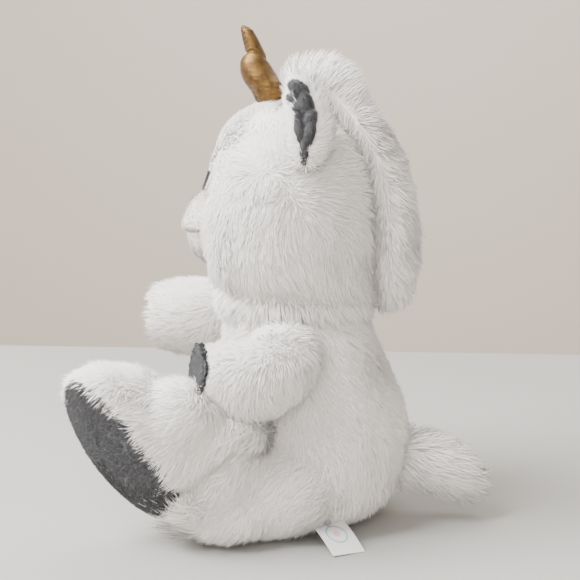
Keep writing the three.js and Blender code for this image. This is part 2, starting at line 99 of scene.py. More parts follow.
def mottled_material(name, dark, light, scale, roughness=0.9, bump=0.3, sheen=0.2,
                     metallic=0.0):
    """A surface whose colour drifts between two shades, with a fine grain."""
    material, tree, shader = new_material(name)
    coordinates = tree.nodes.new("ShaderNodeTexCoord")
    noise = tree.nodes.new("ShaderNodeTexNoise")
    noise.inputs["Scale"].default_value = scale
    noise.inputs["Detail"].default_value = 6
    ramp = tree.nodes.new("ShaderNodeValToRGB")
    ramp.color_ramp.elements[0].position = 0.3
    ramp.color_ramp.elements[0].color = (*dark, 1)
    ramp.color_ramp.elements[1].position = 0.7
    ramp.color_ramp.elements[1].color = (*light, 1)
    grain = tree.nodes.new("ShaderNodeTexNoise")
    grain.inputs["Scale"].default_value = scale * 12
    height = tree.nodes.new("ShaderNodeBump")
    height.inputs["Strength"].default_value = bump
    height.inputs["Distance"].default_value = 0.0004
    tree.links.new(coordinates.outputs["Object"], noise.inputs["Vector"])
    tree.links.new(coordinates.outputs["Object"], grain.inputs["Vector"])
    tree.links.new(noise.outputs["Fac"], ramp.inputs["Fac"])
    tree.links.new(ramp.outputs["Color"], shader.inputs["Base Color"])
    tree.links.new(grain.outputs["Fac"], height.inputs["Height"])
    tree.links.new(height.outputs["Normal"], shader.inputs["Normal"])
    shader.inputs["Roughness"].default_value = roughness
    shader.inputs["Metallic"].default_value = metallic
    shader.inputs["Sheen Weight"].default_value = sheen
    return material


# Each list has a dark or warm, a middle and a light or cool shade, for a pile's strands.
WHITE_FIBRES = [
    strand_material("white_fibre_warm", (0.94, 0.875, 0.815), 0.3),
    strand_material("white_fibre", (0.955, 0.905, 0.86), 0.3),
    strand_material("white_fibre_cool", (0.95, 0.93, 0.905), 0.3),
]
# The muzzle's strands are much darker than the white pile. This is painted shade that dims the
# muzzle and its jaw under the key light, and their warm tint is the plush's own.
MUZZLE_PAINTED_SHADE_FIBRES = [
    strand_material("muzzle_painted_shade_fibre_warm", (0.56, 0.485, 0.44), 0.2),
    strand_material("muzzle_painted_shade_fibre", (0.60, 0.53, 0.485), 0.2),
    strand_material("muzzle_painted_shade_fibre_cool", (0.63, 0.57, 0.525), 0.2),
]
GREY_FIBRES = [
    strand_material("grey_fibre_dark", (0.033, 0.033, 0.035), 0.05),
    strand_material("grey_fibre", (0.06, 0.06, 0.063), 0.05),
    strand_material("grey_fibre_light", (0.105, 0.105, 0.11), 0.05),
]
WHITE_BACKING = mottled_material("white_backing", (0.90, 0.86, 0.82), (0.95, 0.92, 0.89), 60)
GREY_BACKING = mottled_material("grey_backing", (0.04, 0.04, 0.043), (0.075, 0.075, 0.08), 90)
THREAD = mottled_material("black_thread", (0.008, 0.008, 0.009), (0.03, 0.028, 0.03), 900,
                          roughness=0.5)


# ---------------------------------------------------------------- small helpers


def smoothstep(low, high, value):
    t = np.clip((value - low) / (high - low), 0, 1)
    return t * t * (3 - 2 * t)


def unit(vectors):
    return vectors / np.maximum(np.linalg.norm(vectors, axis=-1, keepdims=True), 1e-12)


def along_surface(direction, normals):
    """The part of a direction that lies in the surface, as unit vectors."""
    direction = np.broadcast_to(direction, normals.shape)
    return unit(direction - (direction * normals).sum(1, keepdims=True) * normals)


def drift(points, size, seed):
    """A smooth random vector for each point. It changes over about size metres."""
    rng = np.random.default_rng(seed)
    total = np.zeros((len(points), 3))
    for _ in range(6):
        wave = rng.normal(size=(3, 3)) / size
        phase = rng.uniform(0, 2 * math.pi, 3)
        total += np.sin(points @ wave.T + phase)
    return total / 3


def one_way(direction):
    """A flow for pile that lies along the same direction everywhere."""
    return lambda roots, facing: np.broadcast_to(direction, roots.shape)


def link(name, mesh):
    """A new object in the scene with a mesh."""
    obj = bpy.data.objects.new(name, mesh)
    bpy.context.scene.collection.objects.link(obj)
    return obj


def circle(steps):
    """Evenly spaced angles round a circle."""
    return np.linspace(0, 2 * math.pi, steps, endpoint=False)


def tube(name, rings):
    """A tube with closed ends through rings of points. Each ring has the same count."""
    count = len(rings[0])
    last = (len(rings) - 1) * count
    vertices = [tuple(p) for ring in rings for p in ring]
    faces = []
    for r in range(len(rings) - 1):
        for s in range(count):
            t = (s + 1) % count
            low, high = r * count, (r + 1) * count
            faces.append((low + s, low + t, high + t, high + s))
    faces.append(tuple(reversed(range(count))))
    faces.append(tuple(range(last, last + count)))
    mesh = bpy.data.meshes.new(name)
    mesh.from_pydata(vertices, [], faces)
    mesh.polygons.foreach_set("use_smooth", [True] * len(mesh.polygons))
    return link(name, mesh)


def applied(obj):
    """Applies an object's modifiers to its mesh."""
    depsgraph = bpy.context.evaluated_depsgraph_get()
    mesh = bpy.data.meshes.new_from_object(obj.evaluated_get(depsgraph))
    obj.modifiers.clear()
    obj.data = mesh
    return obj


def keep_outer_shell(mesh):
    """Drops every loose shell except the largest one."""
    bm = bmesh.new()
    bm.from_mesh(mesh)
    left = set(bm.verts)
    shells = []
    while left:
        queue = [left.pop()]
        shell = set(queue)
        while queue:
            for edge in queue.pop().link_edges:
                for vertex in edge.verts:
                    if vertex in left:
                        left.discard(vertex)
                        shell.add(vertex)
                        queue.append(vertex)
        shells.append(shell)
    shells.sort(key=len)
    extra = [v for shell in shells[:-1] for v in shell]
    bmesh.ops.delete(bm, geom=extra, context="VERTS")
    bm.to_mesh(mesh)
    bm.free()


def soften(obj, voxel, rounds, shrink=0.0):
    """Remeshes an object into one smooth outer shell, pulled in by shrink."""
    remesh = obj.modifiers.new("remesh", "REMESH")
    remesh.mode = "VOXEL"
    remesh.voxel_size = voxel
    smooth = obj.modifiers.new("smooth", "SMOOTH")
    smooth.iterations = rounds
    applied(obj)
    keep_outer_shell(obj.data)
    points, normals = vertex_arrays(obj)
    set_points(obj, points - normals * shrink)
    obj.data.polygons.foreach_set("use_smooth", [True] * len(obj.data.polygons))
    return obj


def soft_skin(name, nodes, voxel=0.0025, rounds=8, shrink=0.0, bulges=(), lumps=0.0):
    """One soft skin around several CAD nodes and bulges, as a new object.

    The solids are swollen until the gaps between them close, and the skin is pulled back by
    as much. A bulge is the centre and half sizes of a ball, in millimetres. lumps is how far
    the filling pushes the skin in and out.
    """
    parts = [swollen(node) for node in nodes]
    for centre, size in bulges:
        parts.append(ball_mesh(name, centre, np.array(size) + CAD_GAP / MM))
    skin = soften(link(name, mesh_of(name, parts)), voxel, rounds, shrink + CAD_GAP)
    if lumps:
        dent(skin, lambda points: lumps * drift(points, 0.02, SEED)[:, 0])
    return skin


def swollen(node):
    """A CAD node's mesh, joined along its edges and moved out by CAD_GAP."""
    bm = bmesh.new()
    bm.from_mesh(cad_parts[node].data)
    bmesh.ops.remove_doubles(bm, verts=bm.verts, dist=0.01 * MM)
    bm.normal_update()
    for vertex in bm.verts:
        vertex.co += vertex.normal * CAD_GAP
    mesh = bpy.data.meshes.new(node)
    bm.to_mesh(mesh)
    bm.free()
    return mesh


def mesh_of(name, parts):
    """One mesh made of several."""
    bm = bmesh.new()
    for part in parts:
        bm.from_mesh(part)
    mesh = bpy.data.meshes.new(name)
    bm.to_mesh(mesh)
    bm.free()
    return mesh


def ball_mesh(name, centre, size, tilt=0.0):
    """A ball, with its centre and half sizes in millimetres. tilt turns it about X."""
    turn = Matrix.Rotation(math.radians(tilt), 3, "X")
    bm = bmesh.new()
    bmesh.ops.create_uvsphere(bm, u_segments=24, v_segments=14, radius=MM)
    for vertex in bm.verts:
        stretched = Vector(c * s for c, s in zip(vertex.co, size))
        vertex.co = Vector(centre) * MM + turn @ stretched
    mesh = bpy.data.meshes.new(name)
    bm.to_mesh(mesh)
    bm.free()
    return mesh


def vertex_arrays(obj):
    """The points of an object's vertices, and their normals."""
    count = len(obj.data.vertices)
    points = np.empty(count * 3)
    normals = np.empty(count * 3)
    obj.data.vertices.foreach_get("co", points)
    obj.data.vertex_normals.foreach_get("vector", normals)
    return points.reshape(-1, 3), normals.reshape(-1, 3)


def set_points(obj, points):
    """Moves an object's vertices to new points."""
    obj.data.vertices.foreach_set("co", points.ravel())
    obj.data.update()


def dent(obj, amount):
    """Moves an object's skin in by amount(points), in metres."""
    points, normals = vertex_arrays(obj)
    set_points(obj, points - normals * amount(points)[:, None])


def place(obj, body, material=None, replaces=()):
    """Puts a piece on its body, with its finish and the CAD nodes that it stands for."""
    if material:
        obj.data.materials.clear()
        obj.data.materials.append(material)
    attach(obj, body)
    if replaces:
        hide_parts(*replaces)
    return obj


# ---------------------------------------------------------------- pile


def scatter(obj, density, rng, where):
    """Random roots on an object's surface, with their normals. density is per square metre."""
    mesh = obj.data
    mesh.calc_loop_triangles()
    corners = np.empty(len(mesh.loop_triangles) * 3, int)
    mesh.loop_triangles.foreach_get("vertices", corners)
    corners = corners.reshape(-1, 3)
    points, normals = vertex_arrays(obj)
    a, b, c = (points[corners[:, k]] for k in range(3))
    area = np.linalg.norm(np.cross(b - a, c - a), axis=1) / 2
    count = int(area.sum() * density * DENSITY_SHARE)
    chosen = rng.choice(len(area), count, p=area / area.sum())
    u, v = rng.random(count), rng.random(count)
    flip = u + v > 1
    u[flip], v[flip] = 1 - u[flip], 1 - v[flip]
    weights = np.stack([1 - u - v, u, v], 1)[:, :, None]
    roots = (points[corners[chosen]] * weights).sum(1)
    facing = unit((normals[corners[chosen]] * weights).sum(1))
    if where is not None:
        kept = where(roots, facing)
        roots, facing = roots[kept], facing[kept]
    return roots, facing


def gather(roots, tips, spacing, density, strength, rng):
    """Pulls strand tips together into clumps about spacing apart."""
    count = int(len(roots) / (spacing ** 2 * density * DENSITY_SHARE)) + 2
    centres = rng.choice(len(roots), min(count, len(roots)), replace=False)
    tree = KDTree(len(centres))
    for i, k in enumerate(centres):
        tree.insert(roots[k], i)
    tree.balance()
    nearest = np.array([centres[tree.find(root)[1]] for root in roots])
    pull = strength * rng.uniform(0.3, 1.0, (len(roots), 1))
    return tips + pull * (tips[nearest] - tips) * 0.8


def strand_mesh(name, paths, radii, facing, shades):
    """Closed tapered strands: rings of vertices along each path, and a point at its end.

    Their normals lean towards the skin's, so that the pile takes the light as one soft body.
    """
    strands, steps = len(paths), len(radii)
    direction = unit(paths[:, -1] - paths[:, 0])
    side = unit(np.cross(direction, facing + 0.01))
    other = np.cross(direction, side)
    vertices = np.empty((strands, steps * STRAND_SIDES + 1, 3))
    normals = np.repeat(facing[:, None], steps * STRAND_SIDES + 1, axis=1)
    for r, radius in enumerate(radii):
        for s in range(STRAND_SIDES):
            angle = 2 * math.pi * s / STRAND_SIDES
            out = math.cos(angle) * side + math.sin(angle) * other
            vertices[:, r * STRAND_SIDES + s] = paths[:, r] + radius * out
            normals[:, r * STRAND_SIDES + s] += STRAND_ROUNDNESS * out
    vertices[:, -1] = paths[:, -1]
    faces = strand_faces(steps)
    size = steps * STRAND_SIDES + 1
    index = (faces[None] + (np.arange(strands) * size)[:, None, None]).reshape(-1, 3)
    mesh = bpy.data.meshes.new(name)
    mesh.vertices.add(strands * size)
    mesh.vertices.foreach_set("co", vertices.ravel())
    mesh.loops.add(index.size)
    mesh.loops.foreach_set("vertex_index", index.ravel().astype(np.int32))
    mesh.polygons.add(len(index))
    mesh.polygons.foreach_set("loop_start", np.arange(0, index.size, 3, dtype=np.int32))
    mesh.polygons.foreach_set("material_index", np.repeat(shades, len(faces)).astype(np.int32))
    mesh.polygons.foreach_set("use_smooth", np.ones(len(index), bool))
    mesh.update(calc_edges=True)
    mesh.normals_split_custom_set_from_vertices(unit(normals.reshape(-1, 3)))
    return link(name, mesh)


def strand_faces(steps):
    """Triangles of one strand: its sides, its tip and a cap over its root."""
    faces = [(0, 2, 1)]
    for r in range(steps - 1):
        for s in range(STRAND_SIDES):
            a, b = r * STRAND_SIDES + s, r * STRAND_SIDES + (s + 1) % STRAND_SIDES
            c, d = a + STRAND_SIDES, b + STRAND_SIDES
            faces += [(a, b, d), (a, d, c)]
    top = (steps - 1) * STRAND_SIDES
    for s in range(STRAND_SIDES):
        faces.append((top + s, top + (s + 1) % STRAND_SIDES, top + STRAND_SIDES))
    return np.array(faces)


def at_roots(value, roots):
    """A value for each root, from one number or from a function of the roots."""
    return value(roots) if callable(value) else np.full(len(roots), value)


def fur(name, skin, body, length, flow, lean, where=None, clump=0.5, swirl=0.5,
        steps=2, density=TOP_DENSITY):
    """Long pile: curved top strands over a dense coat of shorter straight ones."""
    def shorter(roots):
        return UNDER_LENGTH * at_roots(length, roots)

    grow(name, skin, body, length, flow, lean, density, COAT_RADIUS, swirl, clump,
         spacing=6 * MM, steps=steps, where=where)
    grow(f"{name}_under", skin, body, shorter, flow, lean, UNDER_DENSITY, COAT_RADIUS,
         swirl, clump=0, where=where)


def grow(name, skin, body, length, flow, lean, density, radius=FINE_RADIUS, swirl=0.5,
         clump=0.6, spacing=5 * MM, steps=1, fibres=WHITE_FIBRES, where=None):
    """Grows one coat of strands. length and lean are numbers or functions of the roots.

    Lean 0 stands straight up, and 1 lies along the flow. steps is how many sections a strand
    bends in. No strand goes below the table.
    """
    rng = np.random.default_rng(SEED + len(name))
    roots, facing = scatter(skin, density, rng, where)
    count = len(roots)
    swirled = flow(roots, facing) + swirl * drift(roots, 0.012, SEED + 3)
    down_flow = along_surface(swirled + rng.normal(0, 0.18, (count, 3)), facing)
    reach = at_roots(length, roots) * rng.uniform(0.75, 1.2, count)
    lie = np.clip(at_roots(lean, roots) + rng.normal(0, 0.07, count), 0, 0.97)[:, None]
    start = roots - facing * 0.5 * MM
    rise = unit(facing * (1 - 0.75 * lie) + down_flow * lie * 0.75)
    fall = unit(facing * (1 - lie) * 0.8 + down_flow * (0.25 + lie))
    tips = start + reach[:, None] * (0.45 * rise + 0.55 * fall)
    if clump:
        tips = gather(roots, tips, spacing, density, clump, rng)
    marks = np.linspace(0, 1, steps + 1)
    paths = np.stack([
        start + reach[:, None] * rise * (0.9 * t * (1 - t)) + (tips - start) * t ** 1.5
        for t in marks], 1)
    lowest = 0.3 * MM * (1 + rng.random((count, 1)))
    paths[:, :, 2] = np.maximum(paths[:, :, 2], lowest)
    radii = [radius * (1 - 0.45 * k / steps) for k in range(steps)]
    shades = rng.choice(3, count, p=[0.25, 0.5, 0.25])
    per_piece = TRIANGLES_PER_PIECE // len(strand_faces(steps))
    for part, first in enumerate(range(0, count, per_piece)):
        chunk = slice(first, first + per_piece)
        label = f"{name}_{part + 1}" if count > per_piece else name
        piece = strand_mesh(label, paths[chunk], radii, facing[chunk], shades[chunk])
        for fibre in fibres:
            piece.data.materials.append(fibre)
        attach(piece, body)


# ---------------------------------------------------------------- torso and neck


def build_torso():
    nodes = ["torso_front_panel", "torso_back_panel", "base_panel", "torso_stuffing",
             "bean_pouch"]
    hidden = ["closing_stitch", "neck_gathering_thread"]
    skin = soft_skin("torso_skin", nodes, shrink=1 * MM, lumps=1.2 * MM)
    place(skin, "torso", WHITE_BACKING, nodes + hidden)

    def lean(roots):
        return 0.62 + 0.2 * smoothstep(0.03, 0.0, roots[:, 2])

    def length(roots):
        return (11.5 - 5 * smoothstep(0.012, 0.002, roots[:, 2])) * MM

    fur("torso_pile", skin, "torso", length, one_way(DOWN), lean)


# The collar from below to above, in millimetres: Z from its middle, and its radius.
COLLAR_RINGS = [(-11, 37), (-8, 42), (-3, 43.5), (3, 44), (8, 42.5), (11, 37)]
COLLAR_DEPTH = 0.96                      # its size along Y, as a share of that along X


def build_neck():
    """A furry collar that hides the gap between the head and the body."""
    centre = Vector((0, -0.0065, 0.139))
    rings = []
    for z, radius in COLLAR_RINGS:
        ring = []
        for a in circle(48):
            x, y = math.cos(a) * radius * MM, math.sin(a) * radius * COLLAR_DEPTH * MM
            ring.append(centre + Vector((x, y, z * MM)))
        rings.append(ring)
    skin = tube("neck_collar", rings)
    place(skin, "neck", WHITE_BACKING, ["neck_stuffing"])
    fur("neck_pile", skin, "neck", 14 * MM, one_way(DOWN), 0.6,
        where=lambda roots, facing: abs(facing[:, 2]) < 0.9)


# ---------------------------------------------------------------- head


def from_face(roots, facing):
    """Pile combed back from the middle of the face, and down over the cheeks."""
    away = unit(roots - MUZZLE_CENTRE - np.array([0, -0.02, 0.02]))
    cheeks = smoothstep(0.225, 0.19, roots[:, 2])[:, None]
    return away + cheeks * DOWN * 1.5


def build_head():
    nodes = ["head_left_panel", "head_right_panel", "head_gusset", "head_stuffing"]
    forehead = [((0, -25, 225), (38, 31, 30))]
    skin = soft_skin("head_skin", nodes, shrink=1 * MM, bulges=forehead, lumps=1.0 * MM)
    place(skin, "head", WHITE_BACKING, nodes)

    def shortness(roots):
        """1 on the face and forehead, 0 on the cheeks and the back of the head."""
        face = smoothstep(-0.028, -0.048, roots[:, 1]) * smoothstep(0.196, 0.208, roots[:, 2])
        forehead = smoothstep(0.222, 0.245, roots[:, 2]) * smoothstep(0.01, -0.012, roots[:, 1])
        return np.maximum(face, forehead)

    def around_horn(roots):
        return np.exp(-((roots - HORN_FOOT) ** 2).sum(1) / (15 * MM) ** 2)

    def length(roots):
        nape = smoothstep(0.022, 0.038, roots[:, 1])
        hem = smoothstep(0.165, 0.15, roots[:, 2])
        fuller = 6 * around_horn(roots) + 5 * nape + 4 * hem
        return (11.5 - 7 * shortness(roots) + fuller) * MM

    def lean(roots):
        return 0.6 + 0.15 * shortness(roots) - 0.45 * around_horn(roots)

    fur("head_pile", skin, "head", length, from_face, lean, swirl=1.1,
        where=lambda roots, facing: ~near_muzzle(roots))


def near_muzzle(roots):
    """Whether a place on the head is behind the muzzle, where no long pile grows."""
    offset = (roots - MUZZLE_CENTRE)[:, [0, 2]] / MUZZLE_OUTLINE
    return (roots[:, 1] < -0.04) & ((offset ** 2).sum(1) < 1)


def build_muzzle():
    nodes = ["muzzle_cover", "muzzle_stuffing"]
    bulges = [((0, -59, 182.5), (26, 16.5, 22.5)), ((0, -60, 172), (20, 13.5, 13))]
    skin = soft_skin("muzzle_skin", nodes, voxel=0.0016, rounds=10, bulges=bulges)
    mouth_z = 0.180

    def crease(points):
        """The line of the mouth, and the jaw set back under it."""
        line = np.exp(-((points[:, 2] - mouth_z) / (1.6 * MM)) ** 2) * 2.0
        jaw = smoothstep(mouth_z + 0.001, mouth_z - 0.003, points[:, 2]) * 2.8
        front = smoothstep(-0.054, -0.064, points[:, 1])
        return (line + jaw) * front * MM

    dent(skin, crease)
    place(skin, "head", WHITE_BACKING, nodes + ["mouth_stitch"])

    back = one_way((0.0, 1.0, -0.25))
    # The muzzle's pile uses the darkened muzzle fibres, whose darkness is painted shade.
    grow("muzzle_pile", skin, "head", 2.8 * MM, back, 0.85, density=5e6,
         radius=0.24 * MM, swirl=0.2, clump=0, fibres=MUZZLE_PAINTED_SHADE_FIBRES)


# ---------------------------------------------------------------- limbs


def build_limb(side, kind, pad, direction, flow, bulges=(), fold=None, fringe=12 * MM,
               edge_pile=LIMB_PILE, tidy_edge=(0, 0, 0)):
    """A furry arm or leg with a short-piled grey pad at its end.

    direction points out of the limb's end, and its pile lies along flow. edge_pile is the
    pile's length round the pad. On the side that tidy_edge points to, it is shorter still,
    and has no fringe.
    """
    body = f"{side}_{kind}"
    nodes = [f"{body}_cover", f"{body}_stuffing"]
    skin = soft_skin(f"{body}_skin", nodes, rounds=14, shrink=1 * MM, bulges=bulges,
                     lumps=1.2 * MM)
    if fold:
        dent(skin, fold)
    place(skin, body, WHITE_BACKING, nodes)
    pad_points = node_points(pad)
    pad_skin = soft_skin(f"{pad}_skin", [pad], voxel=0.0012, rounds=4, lumps=0.7 * MM)
    place(pad_skin, body, GREY_BACKING, [pad])
    outward, plane = pad_plane(pad_points, np.array(direction))

    def off_the_end(roots, facing):
        """Everywhere but on the flat end that the pad covers."""
        return (roots @ outward < plane - 0.5 * MM) | ((facing @ outward) < 0.6)

    def tidiness(roots):
        """0 where the pad's edge is fringed, and 1 on the side that tidy_edge points to."""
        return smoothstep(0, 15 * MM, (roots - pad_points.mean(0)) @ np.array(tidy_edge))

    def at_the_edge(roots, facing):
        near_end = roots @ outward > plane - 7 * MM
        return off_the_end(roots, facing) & near_end & (tidiness(roots) < 0.3)

    def length(roots):
        beside = smoothstep(plane - 22 * MM, plane - 4 * MM, roots @ outward)
        cut = np.maximum(1 - edge_pile / LIMB_PILE, 0.65 * tidiness(roots))
        return LIMB_PILE * (1 - beside * cut)

    def over_the_pad(roots, facing):
        return 0.6 * outward + 0.45 * unit(pad_points.mean(0) - roots)

    fur(f"{body}_pile", skin, body, length, one_way(flow), 0.6, off_the_end)
    grow(f"{body}_fringe", skin, body, fringe, over_the_pad, 0.85,
         density=1.0e6, steps=3, where=at_the_edge)
    grow(f"{pad}_pile", pad_skin, body, SHORT_PILE, one_way(DOWN), 0.65,
         SHORT_PILE_DENSITY, swirl=1.2, spacing=3 * MM, fibres=GREY_FIBRES,
         where=lambda roots, facing: facing @ outward > -0.2)


def node_points(node):
    """The vertices of a CAD node."""
    return np.array([v.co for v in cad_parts[node].data.vertices])


def pad_plane(points, direction):
    """The way a pad faces, and how far along that way its inner face lies."""
    spread = np.linalg.svd(points - points.mean(0))[2]
    outward = spread[2] * np.sign(spread[2] @ direction)
    return outward, (points @ outward).min()


# The fold over the left thigh, from the hip forward to the heel: Y and Z in millimetres.
THIGH_FOLD = np.array([(7, 97), (-4.6, 87), (-24, 66), (-55, 43), (-75, 36), (-92, 33)]) * MM


def thigh_fold(points):
    """How deep the fold is pressed into the outer side of the left leg."""
    order = np.argsort(THIGH_FOLD[:, 0])
    height = np.interp(points[:, 1], THIGH_FOLD[order, 0], THIGH_FOLD[order, 1])
    near = np.exp(-((points[:, 2] - height) * 0.8 / (4.5 * MM)) ** 2)
    outer = smoothstep(0.035, 0.06, points[:, 0] - 0.25 * (-0.03 - points[:, 1]))
    ends = smoothstep(-0.088, -0.07, points[:, 1]) * smoothstep(-0.012, -0.032, points[:, 1])
    return 5.5 * MM * near * outer * ends


def build_limbs():
    left_thigh = [((48, -20, 34), (20, 46, 29)), ((62, -46, 21), (16, 30, 16)),
                  ((69, -43, 70), (17, 28, 16)), ((80, -64, 83), (15, 21, 17))]
    left_sleeve = [((74, -30, 92), (12, 22, 12))]
    right_thigh = [((-48, -18, 34), (20, 42, 28))]
    right_arm_way, right_leg_way = (0.05, -1.0, 0.0), (-0.45, -0.89, 0.0)

    def heel_fringe(roots):
        """Longer over the lower end of the sole."""
        return (7 + 15 * smoothstep(0.045, 0.025, roots[:, 2])) * MM

    build_limb("left", "arm", "left_hand_pad", (-0.05, -0.97, 0.2), (0.0, -0.25, -0.95),
               left_sleeve, fringe=4 * MM, edge_pile=5 * MM)
    build_limb("right", "arm", "right_hand_pad", right_arm_way, right_arm_way,
               fringe=15 * MM)
    build_limb("left", "leg", "left_foot_sole", (0.45, -0.85, 0.3), (0.3, -0.5, -0.5),
               left_thigh, thigh_fold, heel_fringe, tidy_edge=(-0.71, -0.59, -0.39))
    build_limb("right", "leg", "right_foot_sole", right_leg_way, right_leg_way, right_thigh)


# ---------------------------------------------------------------- mane, tail and ears


def build_mane():
    nodes = ["mane"]
    ends = [((0, 52, 153), (20, 10, 18)), ((0, 6, 266), (17, 14, 10))]
    skin = soft_skin("mane_skin", nodes, shrink=1.5 * MM, bulges=ends)
    place(skin, "mane", WHITE_BACKING, nodes)

    def flow(roots, facing):
        top = smoothstep(0.225, 0.26, roots[:, 2])[:, None]
        return top * np.array([0, 0.7, 0.6]) + (1 - top) * np.array([0, 0.25, -1.0])

    def outside(roots, facing):
        """The side of the mane that faces away from the head."""
        return facing[:, 1] + facing[:, 2] > -0.35

    def inside(roots, facing):
        return ~outside(roots, facing)

    def length(roots):
        crest = smoothstep(0.25, 0.265, roots[:, 2]) * smoothstep(0.034, 0.018, roots[:, 1])
        return (12.5 + 5 * crest) * MM

    fur("mane_pile", skin, "mane", length, flow, 0.42, outside, clump=0.6,
        swirl=0.4, steps=3, density=0.7e6)
    fur("mane_inner_pile", skin, "mane", 12 * MM, one_way(DOWN), 0.55,
        inside)
    lock = soft_skin("forelock_skin", ["mane_forelock"], voxel=0.0012, rounds=4)
    place(lock, "head", WHITE_BACKING, ["mane_forelock"])
    grow("forelock_pile", lock, "head", 13 * MM, one_way(UP), 0.6,
         density=1.3e6, radius=0.36 * MM, clump=0.75, steps=3)


# The tail's spine, from inside the back panel to its tip: Y, Z and radius in millimetres.
TAIL_SPINE = [
    (52, 39, 8), (58, 38.5, 9.5), (66, 38, 11), (80, 35, 12), (91, 30, 10), (99, 25, 6.5),
    (103, 22.5, 3),
]


def build_tail():
    nodes = ["tail_cover", "tail_stuffing"]
    rings = []
    for y, z, radius in TAIL_SPINE:
        ring = []
        for a in circle(32):
            across, up = math.cos(a) * radius, radius * math.sin(a)
            ring.append(Vector((across, y + 0.3 * radius * math.sin(a), z + up)) * MM)
        rings.append(ring)
    skin = soften(tube("tail_skin", rings), 0.002, 4)
    place(skin, "tail", WHITE_BACKING, nodes)
    fur("tail_pile", skin, "tail", 17 * MM, one_way((0.0, 0.93, -0.36)), 0.68,
        swirl=0.3, steps=3, density=0.9e6)


def build_ear(side, sign):
    """An ear with a gathered grey lining on its outer side. sign is 1 for the left ear."""
    cover = f"{side}_ear_cover"
    lining = f"{side}_ear_lining"
    body = f"{side}_ear"
    skin = soft_skin(f"{body}_skin", [cover], voxel=0.0015, rounds=6, shrink=0.5 * MM)
    place(skin, body, WHITE_BACKING, [cover])

    low, high = (np.array(corner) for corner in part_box(lining))
    middle = (low + high) / 2

    def off_the_lining(roots, facing):
        """Everywhere but on the long oval that the folds cover."""
        across, up = ((roots - middle) / (high - low))[:, 1:].T
        beside = (across / 0.2) ** 2 + (up / 0.45) ** 2 > 1
        return (facing[:, 0] * sign < 0.35) | beside

    def away_from_lining(roots, facing):
        across = unit((roots - middle) * np.array([0, 1, 0.4]))
        return across + 0.5 * UP

    fur(f"{body}_pile", skin, body, 7 * MM, away_from_lining, 0.55,
        off_the_lining)
    folds = build_folds(f"{body}_folds", sign)
    place(folds, body, GREY_BACKING, [lining])
    grow(f"{body}_lining_pile", folds, body, SHORT_PILE, one_way(DOWN), 0.7,
         SHORT_PILE_DENSITY, swirl=0.8, clump=0.5, spacing=2 * MM, fibres=GREY_FIBRES)


# The folds of the left ear's lining, top to bottom, in millimetres: centres, half sizes,
# and how many degrees each one tilts.
EAR_FOLDS = [
    ((52.5, -0.6, 263.4), (4.6, 4.5, 6.6), 50), ((53.5, -4.0, 258.0), (4.0, 3.4, 4.2), 0),
    ((55.0, 4.3, 255.9), (4.2, 3.4, 7.5), 20), ((56.0, -0.3, 249.8), (4.0, 2.9, 7.2), 15),
    ((57.5, 6.4, 246.4), (4.0, 3.6, 6.4), -22), ((59.2, 0.4, 239.6), (3.8, 2.7, 8.2), 12),
    ((59.8, 6.0, 238.6), (3.8, 3.1, 8.2), -14), ((61.8, 3.2, 228.5), (3.0, 2.4, 8.4), -2),
    ((55.5, 2.6, 250.0), (3.2, 3.6, 9.0), 18),
]


def build_folds(name, sign):
    """A gathered strip of short pile: rounded folds laid over each other."""
    folds = []
    for (x, y, z), size, tilt in EAR_FOLDS:
        folds.append(ball_mesh(name, (sign * x, y, z), size, tilt))
    return soften(link(name, mesh_of(name, folds)), 0.0007, 1)


# ---------------------------------------------------------------- horn

# The horn from its foot to its tip, in millimetres: Z, then Y of its middle, then radius.
HORN_RINGS = [
    (256, -22, 7.5), (259, -22, 9.3), (263.5, -22.7, 10.8), (268.5, -25.5, 11.9),
    (272, -28, 11.2), (275.5, -29.8, 10.4), (281, -31.3, 8.9), (284, -31.4, 7.4),
    (286.4, -31, 5.9), (290, -32.2, 5.4), (296, -34.5, 4.6), (300, -36, 3.7), (302, -37.4, 2.2),
    (302.8, -38, 0.8),
]


def horn_section(z):
    """Y of the horn's middle and its radius at a height, in millimetres."""
    heights, middles, radii = np.array(HORN_RINGS).T
    return np.interp(z, heights, middles), np.interp(z, heights, radii)


def gold_material():
    """Cloth with a worn metallic face, darker in patches."""
    return mottled_material("gold_cloth", (0.07, 0.030, 0.007), (0.215, 0.12, 0.031), 160,
                            roughness=0.36, bump=0.5, sheen=0.1, metallic=0.75)


def horn_dents(angle, z, y):
    """How far the skin is pressed in at a place, in millimetres.

    There is a creased arch under the tip, and small gathers fade away above the foot. The
    bulb between them is crumpled, more so at the back.
    """
    foot_z, bulb_z, arch_z, arch_y = 256, 264, 287.5, -32.5
    arch = arch_z - 0.06 * (y - arch_y) ** 2
    crease = 1.1 * math.exp(-((z - arch) / 0.8) ** 2)
    gathers = 0.7 * math.sin(11 * angle) * math.exp(-(z - foot_z) / 4)
    bulb = math.exp(-((z - bulb_z) / 6) ** 2) * (0.6 - 0.4 * math.cos(angle))
    crumple = 0.9 * math.sin(5 * angle + 0.9 * z) * math.sin(1.3 * z - 3 * angle) * bulb
    return crease + gathers + crumple


def build_horn():
    rings = []
    for z in np.linspace(HORN_RINGS[0][0], HORN_RINGS[-1][0], 96):
        middle, radius = horn_section(z)
        ring = []
        for angle in circle(72):
            y = middle - radius * math.cos(angle)
            r = max(0.3, radius - min(horn_dents(angle, z, y), 0.5 * radius))
            ring.append(Vector((r * math.sin(angle), middle - r * math.cos(angle), z)) * MM)
        rings.append(ring)
    horn = tube("horn_skin", rings)
    nodes = ["horn_cover", "horn_stuffing", "horn_binding_thread"]
    place(horn, "horn", gold_material(), nodes)


